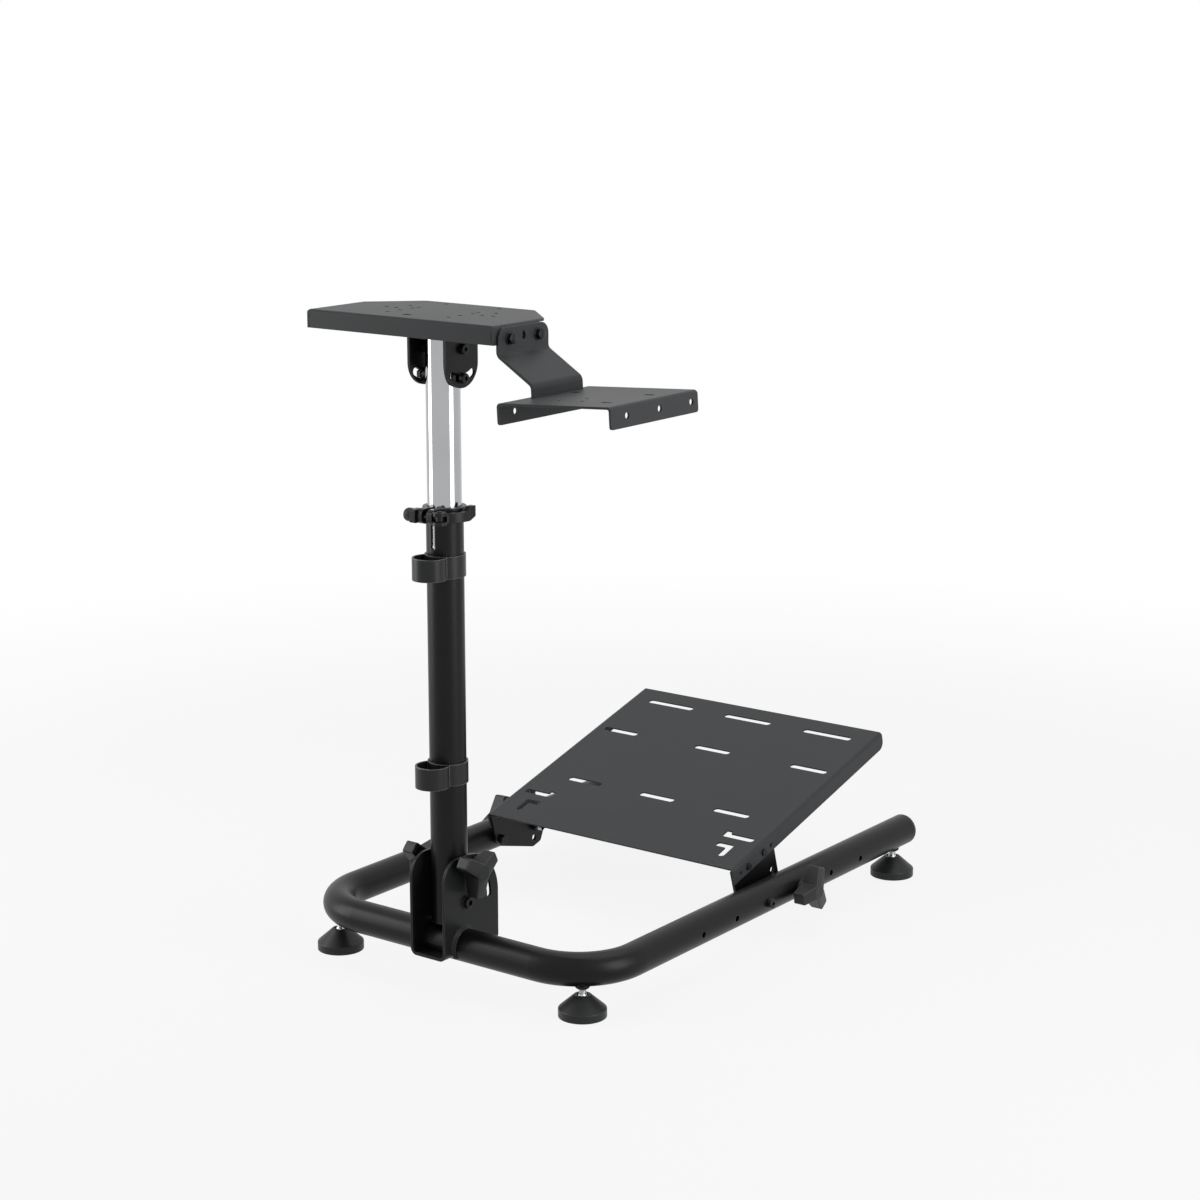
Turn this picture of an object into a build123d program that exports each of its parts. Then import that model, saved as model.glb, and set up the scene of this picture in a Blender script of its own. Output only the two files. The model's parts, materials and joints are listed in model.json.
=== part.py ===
import os
from math import atan2, cos, degrees, radians, sin

from build123d import *

# Racing wheel stand: bent tube base on four screw feet, folding column with a
# sliding chrome tube, tilting wheel plate with a shifter plate at its right,
# and a sloped pedal plate between the arms of the base.
# X is the driver's right, Y points forward to the pedals, Z is up.

# Base tube
base_tube_od = 46.0
base_tube_wall = 2.0
arm_spacing = 495.0
base_bend_radius = 90.0
front_foot_turn = 40.0
arm_length = 798.0
tube_axis_height = 65.0
arm_hole_first = 225.0
arm_hole_pitch = 82.5
arm_hole_count = 6
arm_hole_dia = 9.0
end_cap_thickness = 5.0
end_cap_plug = 12.0
plug_clearance = 0.2

# Screw feet
foot_dia = 65.5
foot_rim_height = 11.0
foot_cone_height = 19.0
foot_cone_top_dia = 23.0
foot_edge_round = 2.0
foot_socket_dia = 16.0
foot_socket_depth = 9.0
stud_dia = 10.0
stud_ball_dia = 13.0
foot_nut_dia = 20.0
foot_nut_height = 4.5
rear_foot_setback = 28.0

# Column and its folding bracket
column_od = 50.0
column_wall = 1.5
column_setback = 6.6
column_top = 665.0
column_foot_gap = 5.2
pivot_height = 123.5
cheek_gap = 1.5
cheek_thickness = 4.0
cheek_front_reach = 47.5
cheek_round = 66.8
cheek_front_corner = 30.0
bracket_floor_drop = 14.5
bracket_bend = 6.0
knob_orbit = 47.5
knob_screw_dia = 8.0
knob_slot_clearance = 0.5
pivot_bolt_dia = 8.0
pivot_bolt_head_dia = 16.0
pivot_bolt_head_height = 6.0
pivot_bolt_nut_height = 7.0
running_clearance = 0.05
weld_gap = 0.05
weld_bead = 4.0

# Three-lobed hand knobs
knob_reach = 35.0
knob_lobe_width = 17.0
knob_thickness = 26.0
knob_hub_dia = 24.0
knob_hub_height = 5.0
knob_waist = 12.0
knob_waist_round = 3.0
knob_lobe_round = 3.0
knob_edge = 1.4
knob_crown_dia = 20.0
knob_rake = 4.5
knob_face_gap = 0.4

# Quick-release clamp at the top of the column
slit_width = 6.0
slit_length = 50.0
slit_end_dia = 7.0
collar_height = 20.0
collar_wall = 4.5
collar_top_lip = 3.0
collar_gap = 0.3
clamp_lug_gap = 8.0
clamp_lug_thickness = 9.0
clamp_lug_reach = 19.0
clamp_bolt_dia = 6.0
clamp_nut_dia = 17.0
clamp_nut_length = 12.5
clamp_block = 18.0
clamp_block_length = 9.0
collar_groove = 5.0
collar_groove_depth = 1.2
cam_dia = 18.0
cam_height = 17.0
lever_thickness = 7.0
lever_height = 13.0
lever_clear = 5.5
lever_start = 16.0
lever_sweep = 46.0
lever_tip = 9.0
lever_tip_flare = 8.0
lever_tip_rise = 6.5
eye_dia = 10.0
eye_height = 7.0
eye_clearance = 0.4
cam_pin_dia = 6.0

# Cable clips
clip_height = 30.0
clip_band = 2.4
clip_fit = 0.1
clip_loop_od = 46.0
clip_loop_reach = 33.0
clip_mouth = 4.0
clip_upper_drop = 91.5
clip_lower_rise = 166.0

# Sliding chrome tube
inner_od = 46.0
inner_wall = 1.5
inner_bottom = 400.0
inner_top_above_tilt = 29.0

# Tilting wheel plate
tilt_drop = 47.0
tilt_lock_drop = 38.0
tilt_slot_angle = 32.0
tilt_bolt_dia = 8.0
tilt_slot_clearance = 1.4
tilt_bolt_head_dia = 14.0
tilt_bolt_head_height = 6.0
tilt_sleeve_dia = 18.0
sleeve_side_gap = 0.4
ear_inner = 29.0
ear_thickness = 4.0
ear_half_width = 32.0
ear_drop = 51.0
plate_top = 924.0
plate_width = 312.0
plate_front = -81.0
plate_side_end = 22.0
plate_rear = 84.0
plate_rear_width = 184.0
plate_sheet = 3.0
plate_flange = 24.3
plate_bend = 4.5
plate_corner = 12.0
plate_relief = 1.0
wheel_hole_dia = 6.5
wheel_slot_length = 16.0
wheel_slot_x = -10.0
wheel_slot_y = -51.0
wheel_holes_inner = (102.0, 25.0)
wheel_holes_inner_y = -5.5
wheel_holes_outer = (145.0, 28.0)
wheel_holes_outer_y = 14.0
wheel_holes_front = 102.0
wheel_holes_front_y = -42.0
wheel_holes_mid = 100.0
wheel_holes_mid_y = 19.0
wheel_holes_side = 180.0
wheel_holes_side_y = 1.0
wheel_holes_rear = 90.0
wheel_holes_rear_y = 69.0

# Shifter arm and shifter plate
arm_sheet = 4.0
shifter_arm_setback = 5.0
shifter_arm_width = 101.0
shifter_arm_top_gap = 3.0
shifter_arm_bend_drop = 37.0
shifter_arm_reach = 54.0
shifter_arm_drop = 33.0
shifter_arm_bend = 9.0
shifter_arm_corner = 15.0
shifter_bolt_spacing = 58.0
shifter_bolt_drop = 17.0
shifter_bolt_dia = 6.0
shifter_bolt_head_dia = 13.0
shifter_bolt_head_height = 8.0
shifter_lean = 3.5
shifter_plate_drop = 85.6
shifter_plate_offset = 44.0
shifter_plate_width = 173.0
shifter_plate_lead = 50.0
shifter_plate_length = 181.0
shifter_sheet = 3.0
shifter_flange = 27.5
shifter_bend = 4.0
shifter_corner = 4.0
shifter_side_hole_dia = 8.5
shifter_side_hole_first = 33.0
shifter_side_hole_pitch = 67.0
shifter_side_hole_drop = 13.5
shifter_slot_length = 16.0
shifter_slot_width = 7.0
shifter_slots = ((29.0, 119.0), (144.0, 119.0), (138.0, 39.0))
shifter_hole_dia = 5.5
shifter_holes = ((62.0, 44.0), (86.0, 70.0), (99.0, 43.0))

# Pedal plate, its brackets and its knobs
pedal_side_gap = 0.5
pedal_length = 421.0
pedal_near = 363.2
pedal_near_height = 112.0
pedal_tilt = 15.2
pedal_sheet = 2.5
pedal_flange = 25.4
pedal_bend = 4.0
pedal_corner = 12.0
pedal_slot_width = 10.5
pedal_rows = ((387.0, 146.5, 85.0), (286.0, 175.0, 64.0), (134.0, 134.5, 62.0))
pedal_corner_slot_x = 183.0
pedal_corner_slot_u = 79.0
pedal_corner_slot_length = 52.5
pedal_corner_slot_tab = 11.0
pedal_hook_x = 185.0
pedal_hook_u = 53.0
pedal_hook_legs = (18.0, 22.0)
gusset_thickness = 4.0
gusset_margin = 13.0
gusset_holes = (17.6, 37.5, 78.7, 98.8)
gusset_hole_drop = 16.0
gusset_hole_dia = 7.0
gusset_step = 12.5
pedal_screw_dia = 8.0
pedal_screw_tail = 9.0
gusset_lock_dia = 9.5
pedal_screw_nut_height = 6.5
pedal_screw_nut_flats = 13.0
pedal_bolt_head_dia = 15.0
pedal_bolt_head_height = 6.0
gusset_bolt_dia = 6.0
gusset_bolt_head_dia = 10.0
gusset_bolt_head_height = 3.0

# Values that follow from the ones above
tube_r = base_tube_od / 2
arm_x = arm_spacing / 2
column_r = column_od / 2
column_y = column_setback
inner_r = inner_od / 2
cheek_in = column_r + cheek_gap
cheek_out = cheek_in + cheek_thickness
knob_base = cheek_out + knob_face_gap
ear_out = ear_inner + ear_thickness
column_bottom = tube_axis_height + tube_r + column_foot_gap
clip_upper_bottom = column_top - clip_upper_drop
clip_lower_bottom = pivot_height + clip_lower_rise
tilt_height = plate_top - tilt_drop
shifter_arm_front = plate_front + shifter_arm_setback
shifter_arm_top = plate_top - shifter_arm_top_gap
shifter_arm_bend_height = plate_top - shifter_arm_bend_drop
shifter_bolt_height = plate_top - shifter_bolt_drop
shifter_plate_height = plate_top - shifter_plate_drop
shifter_plate_left = plate_width / 2 + shifter_plate_offset
shifter_plate_front = plate_front - shifter_plate_lead
pedal_width = arm_spacing - base_tube_od - 2 * pedal_side_gap
shifter_right = shifter_plate_left + shifter_plate_width * cos(radians(shifter_lean))
arm_end = arm_length + end_cap_thickness
knob_total = knob_face_gap + knob_hub_height + knob_thickness
box_left = -(arm_x + tube_r + knob_total)
box_right = shifter_right + (shifter_flange - 2) * sin(radians(shifter_lean))
origin_x = (box_left + box_right) / 2
origin_y = (shifter_plate_front + arm_end) / 2

parts = {}


def add(name, *solids):
    moved = [Pos(-origin_x, -origin_y, 0) * s for s in solids]
    parts[name] = moved[0] if len(moved) == 1 else Compound(children=moved)


def rod_x(x0, x1, y, z, radius):
    return Pos((x0 + x1) / 2, y, z) * Rot(0, 90, 0) * Cylinder(radius, abs(x1 - x0))


def rod_z(x, y, z0, z1, radius):
    return Pos(x, y, (z0 + z1) / 2) * Cylinder(radius, z1 - z0)


def hex_x(x0, x1, y, z, flats):
    nut = extrude(RegularPolygon(flats / 2, 6, major_radius=False), abs(x1 - x0))
    return Pos(min(x0, x1), y, z) * Rot(0, 90, 0) * nut


def tube_z(x, y, z0, z1, outer, inner):
    return rod_z(x, y, z0, z1, outer) - rod_z(x, y, z0 - 1, z1 + 1, inner)


def in_yz(x, sketch):
    return Plane.YZ.offset(x) * sketch


def bent_strip(points, bend, thickness, y0, width):
    path = FilletPolyline(*[(p[0], y0 + width / 2, p[1]) for p in points], radius=bend)
    start = Plane(path @ 0, x_dir=(0, 1, 0), z_dir=path % 0)
    return sweep(start * Rectangle(width, thickness), path=path)


# Base frame: one tube bent twice, with a row of holes through each arm
base_path = FilletPolyline(
    (-arm_x, arm_length, tube_axis_height),
    (-arm_x, 0, tube_axis_height),
    (arm_x, 0, tube_axis_height),
    (arm_x, arm_length, tube_axis_height),
    radius=base_bend_radius,
)
path_start = Plane(base_path @ 0, z_dir=base_path % 0)
base_frame = sweep(path_start * Circle(tube_r), path=base_path)
base_frame -= sweep(path_start * Circle(tube_r - base_tube_wall), path=base_path)
arm_holes = [arm_hole_first + i * arm_hole_pitch for i in range(arm_hole_count)]
for side in (-1, 1):
    for hole_y in arm_holes:
        base_frame -= rod_x(
            side * (arm_x - tube_r - 1),
            side * (arm_x + tube_r + 1),
            hole_y,
            tube_axis_height,
            arm_hole_dia / 2,
        )

# Feet: pads on chrome ball studs, under the two bends and near the arm ends
front_foot_x = arm_x - base_bend_radius * (1 - sin(radians(front_foot_turn)))
front_foot_y = base_bend_radius * (1 - cos(radians(front_foot_turn)))
foot_spots = {
    "front_left": (-front_foot_x, front_foot_y),
    "front_right": (front_foot_x, front_foot_y),
    "rear_left": (-arm_x, arm_length - rear_foot_setback),
    "rear_right": (arm_x, arm_length - rear_foot_setback),
}
nut_top = tube_axis_height - tube_r + 1.5
foot_top = foot_rim_height + foot_cone_height
ball_z = foot_top - foot_socket_depth + stud_ball_dia / 2
foot_studs = []
foot_nuts = []
for place, (foot_x, foot_y) in foot_spots.items():
    profile = make_face(
        Polyline(
            (0, 0),
            (foot_dia / 2, 0),
            (foot_dia / 2, foot_rim_height),
            (foot_cone_top_dia / 2, foot_top),
            (0, foot_top),
            close=True,
        )
    )
    pad = revolve(Plane.XZ * profile, Axis.Z)
    pad = fillet(pad.edges().filter_by(GeomType.CIRCLE).sort_by(Axis.Z)[1:3], foot_edge_round)
    pad -= rod_z(0, 0, foot_top - foot_socket_depth, foot_top + 1, foot_socket_dia / 2)
    stud = rod_z(0, 0, ball_z, nut_top - foot_nut_height, stud_dia / 2)
    stud += Pos(0, 0, ball_z) * Sphere(stud_ball_dia / 2)
    nut = rod_z(0, 0, nut_top - foot_nut_height, nut_top, foot_nut_dia / 2)
    nut = chamfer(nut.edges().group_by(Axis.Z)[0], 1.5)
    spot = Pos(foot_x, foot_y, 0)
    add("foot_" + place, spot * pad)
    foot_studs.append(spot * stud)
    foot_nuts.append(spot * nut - sweep(path_start * Circle(tube_r + weld_gap), path=base_path))

add("foot_studs", *foot_studs)
add("foot_nuts", *foot_nuts)
add("base_frame", base_frame)

# Plastic caps in the open arm ends
for side, name in ((-1, "arm_end_cap_left"), (1, "arm_end_cap_right")):
    along = Pos(side * arm_x, arm_length, tube_axis_height) * Rot(-90, 0, 0)
    disc = Pos(0, 0, end_cap_thickness / 2) * Cylinder(tube_r, end_cap_thickness)
    disc = fillet(disc.edges().group_by(Axis.Z)[-1], 3.0)
    plug_r = tube_r - base_tube_wall - plug_clearance
    plug = Pos(0, 0, -end_cap_plug / 2) * Cylinder(plug_r, end_cap_plug)
    plug -= Pos(0, 0, -end_cap_plug / 2 - 1) * Cylinder(plug_r - 2.5, end_cap_plug)
    add(name, along * (disc + plug))

# Folding bracket: a channel with two slotted cheeks, set over the cross tube
front_edge = column_y - cheek_front_reach
rear_edge = column_y + cheek_round
cheek_top = pivot_height + cheek_round
bracket_floor = tube_axis_height - bracket_floor_drop
outline = make_face(
    Polyline(
        (front_edge, bracket_floor),
        (rear_edge, bracket_floor),
        (rear_edge, cheek_top),
        (front_edge, cheek_top),
        close=True,
    )
)
corners = outline.vertices().group_by(Axis.Y)[-1].sort_by(Axis.X)
outline = fillet(corners[0], cheek_front_corner)
rear_top = outline.vertices().sort_by_distance((rear_edge, cheek_top, 0))[0]
outline = fillet(rear_top, cheek_round - 0.01)
bracket = extrude(in_yz(-cheek_out, outline), 2 * cheek_out)
long_edges = bracket.edges().filter_by(Axis.Y).group_by(Axis.Z)[0]
bracket = fillet(long_edges, bracket_bend + cheek_thickness)
hollow_len = rear_edge - front_edge + 2
hollow_height = cheek_top - bracket_floor
hollow = Pos(0, (front_edge + rear_edge) / 2, bracket_floor + cheek_thickness + hollow_height / 2)
hollow *= Box(2 * cheek_in, hollow_len, hollow_height)
hollow = fillet(hollow.edges().filter_by(Axis.Y).group_by(Axis.Z)[0], bracket_bend)
bracket -= hollow
for side in (-1, 1):
    x0 = side * cheek_out
    bead = rod_x(x0, x0 + side * weld_bead, 0, tube_axis_height, tube_r + weld_bead)
    bead = chamfer(bead.edges().filter_by(GeomType.CIRCLE).sort_by(Axis.X)[0 if side < 0 else -1], 3.4)
    bead -= Pos(x0, 0, bracket_floor - base_tube_od) * Box(base_tube_od, 2 * base_tube_od, 2 * base_tube_od)
    bracket += bead
bracket -= rod_x(-cheek_out - 20, cheek_out + 20, 0, tube_axis_height, tube_r + weld_gap)
bracket -= rod_x(-cheek_out - 1, cheek_out + 1, column_y, pivot_height, pivot_bolt_dia / 2)
slot_r = knob_screw_dia / 2 + knob_slot_clearance
slot_arc = CenterArc((column_y, pivot_height), knob_orbit, -1.0, 92.0)
knob_slot = SlotArc(slot_arc, 2 * slot_r)
bracket -= extrude(in_yz(-cheek_out - 1, knob_slot), 2 * cheek_out + 2)
add("pivot_bracket", bracket)

# Pivot bolt through both cheeks
pivot = rod_x(-cheek_out - pivot_bolt_nut_height, cheek_out + 0.1, column_y, pivot_height, pivot_bolt_dia / 2)
head = rod_x(cheek_out, cheek_out + pivot_bolt_head_height, column_y, pivot_height, pivot_bolt_head_dia / 2)
head = fillet(head.edges().filter_by(GeomType.CIRCLE).sort_by(Axis.X)[-1], 1.5)
socket = hex_x(cheek_out + 1.5, cheek_out + pivot_bolt_head_height + 1, column_y, pivot_height, pivot_bolt_dia)
nut = hex_x(-cheek_out - pivot_bolt_nut_height, -cheek_out, column_y, pivot_height, 16.0)
add("pivot_bolt", pivot + head - socket + nut)

# Column tube with its clamp slit, knob holes and pivot hole
column = tube_z(0, column_y, column_bottom, column_top, column_r, column_r - column_wall)
relief_r = pivot_height - column_bottom
relief = Pos(0, column_y + 50, pivot_height - 50) * Box(60, 100, 100)
relief -= rod_x(-40, 40, column_y, pivot_height, relief_r)
column -= relief
knob_z = pivot_height + knob_orbit
pivot_hole_r = pivot_bolt_dia / 2 + running_clearance
column -= rod_x(-40, 40, column_y, pivot_height, pivot_hole_r)
column -= rod_x(-40, 40, column_y, knob_z, knob_screw_dia / 2)
slit_bottom = column_top - slit_length
slit = Pos(0, column_y - column_r, (slit_bottom + column_top) / 2 + 5)
column -= slit * Box(slit_width, 12, slit_length + 10)
column -= Pos(0, column_y - column_r, slit_bottom) * Rot(90, 0, 0) * Cylinder(slit_end_dia / 2, 12)
add("column_tube", column)


# Hand knobs: a hub, three lobes that thin out on both faces toward their tips, and a screw
def knob_body(turn):
    half_lobe = knob_lobe_width / 2
    points = []
    for i in range(3):
        a = radians(120 * i)
        for w in (-half_lobe, half_lobe):
            points.append((knob_reach * cos(a) - w * sin(a), knob_reach * sin(a) + w * cos(a)))
        points.append((knob_waist * cos(a + radians(60)), knob_waist * sin(a + radians(60))))
    lobes = make_face(Polyline(*points, close=True))
    inner = [v for v in lobes.vertices() if v.center().length < knob_waist + 2]
    lobes = fillet(inner, knob_waist_round)
    outer = [v for v in lobes.vertices() if v.center().length > knob_reach]
    lobes = fillet(outer, knob_lobe_round)
    body = extrude(lobes, knob_thickness, dir=(0, 0, 1))
    crown_r = knob_crown_dia / 2
    far = knob_reach + knob_lobe_width
    far_rake = knob_rake * (far - crown_r) / (knob_reach - crown_r)
    crown = Polyline(
        (0, 0),
        (crown_r, 0),
        (far, far_rake),
        (far, knob_thickness - far_rake),
        (crown_r, knob_thickness),
        (0, knob_thickness),
        close=True,
    )
    body &= revolve(Plane.XZ * make_face(crown), Axis.Z)
    low_rim = knob_thickness - 1.6 * knob_rake
    rim = [e for e in body.edges() if low_rim < min((e @ 0).Z, (e @ 1).Z) < knob_thickness - 0.1]
    body = fillet(rim, knob_edge)
    body = Pos(0, 0, knob_hub_height) * body
    body += Pos(0, 0, knob_hub_height / 2) * Cylinder(knob_hub_dia / 2, knob_hub_height)
    return Rot(0, 0, turn) * body


knob_screw_in = column_r - column_wall - 6
for side, name, turn in ((-1, "column_knob_left", 72), (1, "column_knob_right", -4)):
    face = Pos(side * knob_base, column_y, knob_z) * Rot(0, side * 90, 0)
    screw = rod_x(side * knob_screw_in, side * (knob_base + 3), column_y, knob_z, knob_screw_dia / 2)
    add(name, face * knob_body(turn) + screw)

# Cable clips: a band round the column with an open loop at the front
def cable_clip(bottom):
    band_r = column_r + clip_fit
    loop_y = column_y - clip_loop_reach
    loop_r = clip_loop_od / 2
    plan = Pos(0, column_y) * Circle(band_r + clip_band)
    plan += Pos(0, loop_y) * Circle(loop_r)
    plan -= Pos(0, column_y) * Circle(band_r)
    keep = Pos(0, column_y) * (Circle(band_r + clip_band) - Circle(band_r))
    plan -= Pos(0, loop_y) * Circle(loop_r - clip_band)
    plan += keep
    plan -= Pos(-loop_r, loop_y + 13) * Rot(0, 0, 20) * Rectangle(16, clip_mouth)
    clip = Pos(0, 0, bottom) * extrude(plan, clip_height)
    return clip


add("cable_clip_upper", cable_clip(clip_upper_bottom))
add("cable_clip_lower", cable_clip(clip_lower_bottom))

# Clamp collar with two lugs at the front
collar_z0 = column_top - collar_height + collar_top_lip
collar_z1 = column_top + collar_top_lip
bolt_z = (collar_z0 + collar_z1) / 2
collar_r = column_r + collar_wall
lug_y = column_y - collar_r - clamp_lug_reach / 2 + 2
lug_out = clamp_lug_gap / 2 + clamp_lug_thickness
collar = rod_z(0, column_y, collar_z0, collar_z1, collar_r)
collar = fillet(collar.edges().filter_by(GeomType.CIRCLE), 1.5)
lugs = Pos(0, lug_y + 4, bolt_z) * Box(2 * lug_out, clamp_lug_reach, collar_height)
lugs = fillet(lugs.edges().filter_by(Axis.X).group_by(Axis.Y)[0], 8.0)
collar += lugs
groove = tube_z(0, column_y, bolt_z - collar_groove / 2, bolt_z + collar_groove / 2, 2 * collar_r, 0.1)
groove -= rod_z(0, column_y, collar_z0, collar_z1, collar_r - collar_groove_depth)
groove &= Pos(0, column_y + collar_r, bolt_z) * Box(4 * collar_r, 2 * collar_r + collar_wall, collar_height)
collar -= groove
collar -= rod_z(0, column_y, collar_z0 - 1, column_top, column_r)
collar -= rod_z(0, column_y, column_top - 0.5, collar_z1 + 1, inner_r + collar_gap)
collar -= Pos(0, column_y - collar_r - 8, bolt_z) * Box(clamp_lug_gap, 48, collar_height + 2)
bolt_y = lug_y
collar -= rod_x(-lug_out - 1, lug_out + 1, bolt_y, bolt_z, clamp_bolt_dia / 2 + running_clearance)
add("clamp_collar", collar)

# Clamp bolt with its block and thumb nut
cam_x = lug_out + cam_dia / 2 + collar_gap
block_x = -lug_out - clamp_block_length
clamp_bolt = rod_x(block_x - 1, lug_out - 1, bolt_y, bolt_z, clamp_bolt_dia / 2)
block = Pos(block_x + clamp_block_length / 2, bolt_y, bolt_z) * Box(clamp_block_length, clamp_block, clamp_block)
block = fillet(block.edges().filter_by(Axis.X), 2.5)
thumb = rod_x(block_x - clamp_nut_length, block_x, bolt_y, bolt_z, clamp_nut_dia / 2)
thumb = fillet(thumb.edges().filter_by(GeomType.CIRCLE).sort_by(Axis.X)[0], 3.0)
add("clamp_bolt", clamp_bolt + block + thumb)

# Eye at the bolt's right end, with the cam pin that the lever swings on
pin_r = cam_pin_dia / 2
pin_half = cam_height / 2 + 1
pin = rod_z(cam_x, bolt_y, bolt_z - pin_half, bolt_z + pin_half, pin_r)
eye = rod_x(lug_out - 1, cam_x, bolt_y, bolt_z, clamp_bolt_dia / 2)
eye += rod_z(cam_x, bolt_y, bolt_z - eye_height / 2, bolt_z + eye_height / 2, eye_dia / 2)
add("clamp_pin", pin + eye)

# Cam lever: a slotted round cam and an arm that wraps the right side of the column and lifts at its tip
wrap_r = collar_r + lever_clear + lever_thickness / 2
start_angle = degrees(atan2(bolt_y - column_y, cam_x)) + lever_start
wrap = CenterArc((0, column_y), wrap_r, start_angle, lever_sweep)
tip_angle = radians(start_angle + lever_sweep + 90 - lever_tip_flare)
tip_start = wrap @ 1
tip_end = tip_start + Vector(cos(tip_angle), sin(tip_angle)) * lever_tip
lever_plan = trace([Line((cam_x, bolt_y), wrap @ 0), wrap, Line(tip_start, tip_end)], lever_thickness)
lever_plan += Pos((wrap @ 0).X, (wrap @ 0).Y) * Circle(lever_thickness / 2)
lever_plan += Pos(tip_start.X, tip_start.Y) * Circle(lever_thickness / 2)
lever_plan += Pos(tip_end.X, tip_end.Y) * Circle(lever_thickness / 2)
half_height = lever_height / 2
lever = Pos(0, 0, bolt_z - half_height) * extrude(lever_plan, lever_height + lever_tip_rise)
near_y = bolt_y - cam_dia
far_y = tip_end.Y + lever_thickness / 2
side_plan = make_face(
    Polyline(
        (near_y, bolt_z - half_height),
        (tip_start.Y, bolt_z - half_height),
        (far_y, bolt_z - half_height + lever_tip_rise),
        (far_y, bolt_z + half_height + lever_tip_rise),
        (tip_end.Y - lever_thickness, bolt_z + half_height + lever_tip_rise),
        (tip_start.Y - lever_thickness, bolt_z + half_height),
        (near_y, bolt_z + half_height),
        close=True,
    )
)
side_plan = fillet(side_plan.vertices().group_by(Axis.X)[1:-1], lever_thickness)
side_plan = fillet(side_plan.vertices().group_by(Axis.X)[-1], 0.6 * lever_thickness)
lever &= extrude(in_yz(-2 * wrap_r, side_plan), 4 * wrap_r)
lever += rod_z(cam_x, bolt_y, bolt_z - cam_height / 2, bolt_z + cam_height / 2, cam_dia / 2)
slot_half = eye_height / 2 + eye_clearance
lever -= rod_z(cam_x, bolt_y, bolt_z - slot_half, bolt_z + slot_half, cam_dia / 2 + eye_clearance)
lever -= rod_z(cam_x, bolt_y, bolt_z - cam_height, bolt_z + cam_height, pin_r + running_clearance)
add("clamp_lever", lever)

# Chrome tube that slides in the column, with two cross sleeves for the tilt bolts
lock_z = tilt_height - tilt_lock_drop
inner_top = tilt_height + inner_top_above_tilt
inner = tube_z(0, column_y, inner_bottom, inner_top, inner_r, inner_r - inner_wall)
sleeve_r = tilt_sleeve_dia / 2
sleeve_x = ear_inner - sleeve_side_gap
for z in (tilt_height, lock_z):
    inner -= rod_x(-40, 40, column_y, z, sleeve_r)
add("inner_tube", inner)
sleeves = []
for z in (tilt_height, lock_z):
    sleeve = rod_x(-sleeve_x, sleeve_x, column_y, z, sleeve_r)
    sleeves.append(sleeve - rod_x(-40, 40, column_y, z, tilt_bolt_dia / 2))
add("tilt_sleeves", *sleeves)


def tilt_bolt(z, head_gap):
    shaft = rod_x(-ear_out - head_gap, ear_out + head_gap, column_y, z, tilt_bolt_dia / 2)
    x0 = ear_out + head_gap
    right = rod_x(x0, x0 + tilt_bolt_head_height, column_y, z, tilt_bolt_head_dia / 2)
    right = fillet(right.edges().filter_by(GeomType.CIRCLE).sort_by(Axis.X)[-1], 1.2)
    right -= hex_x(x0 + 3, x0 + tilt_bolt_head_height + 1, column_y, z, 6.0)
    left = hex_x(-x0 - tilt_bolt_head_height, -x0, column_y, z, 13.0)
    return shaft + right + left


add("tilt_pivot_bolt", tilt_bolt(tilt_height, 0.3))
add("tilt_lock_bolt", tilt_bolt(lock_z, 0.3))

# Tilt ears: round-ended plates with a pivot hole and an arc slot
plate_under = plate_top - plate_sheet
for side, name in ((-1, "tilt_ear_left"), (1, "tilt_ear_right")):
    round_z = tilt_height - ear_drop + ear_half_width
    plan = Pos(column_y, round_z) * Circle(ear_half_width)
    plan += Pos(column_y, (round_z + plate_under) / 2) * Rectangle(2 * ear_half_width, plate_under - round_z)
    plan -= Pos(column_y, tilt_height) * Circle(tilt_bolt_dia / 2 + running_clearance)
    arc = CenterArc((column_y, tilt_height), tilt_lock_drop, -90 - tilt_slot_angle, 2 * tilt_slot_angle)
    plan -= SlotArc(arc, tilt_bolt_dia + 2 * tilt_slot_clearance)
    ear = extrude(in_yz(min(side * ear_inner, side * ear_out), plan), ear_thickness)
    add(name, ear)

# Wheel plate: folded sheet with front and side flanges and chamfered rear corners
half = plate_width / 2
rear_half = plate_rear_width / 2
plan_points = (
    (-half, plate_front),
    (half, plate_front),
    (half, plate_side_end),
    (rear_half, plate_rear),
    (-rear_half, plate_rear),
    (-half, plate_side_end),
)
plate_plan = make_face(Polyline(*plan_points, close=True))
plate_plan = fillet(plate_plan.vertices().group_by(Axis.Y)[1], plate_corner)
plate_plan = fillet(plate_plan.vertices().group_by(Axis.Y)[-1], plate_corner)


def folded_block(inset, z_low, z_high, bend):
    depth = plate_rear - plate_front
    mid_y = (plate_rear + plate_front) / 2 + inset
    block = Pos(0, mid_y, (z_low + z_high) / 2) * Box(plate_width - 2 * inset, depth, z_high - z_low)
    rim = block.edges().group_by(Axis.Z)[-1]
    return fillet(rim.filter_by(Axis.Y) + rim.filter_by(Axis.X).sort_by(Axis.Y)[:1], bend)


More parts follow.
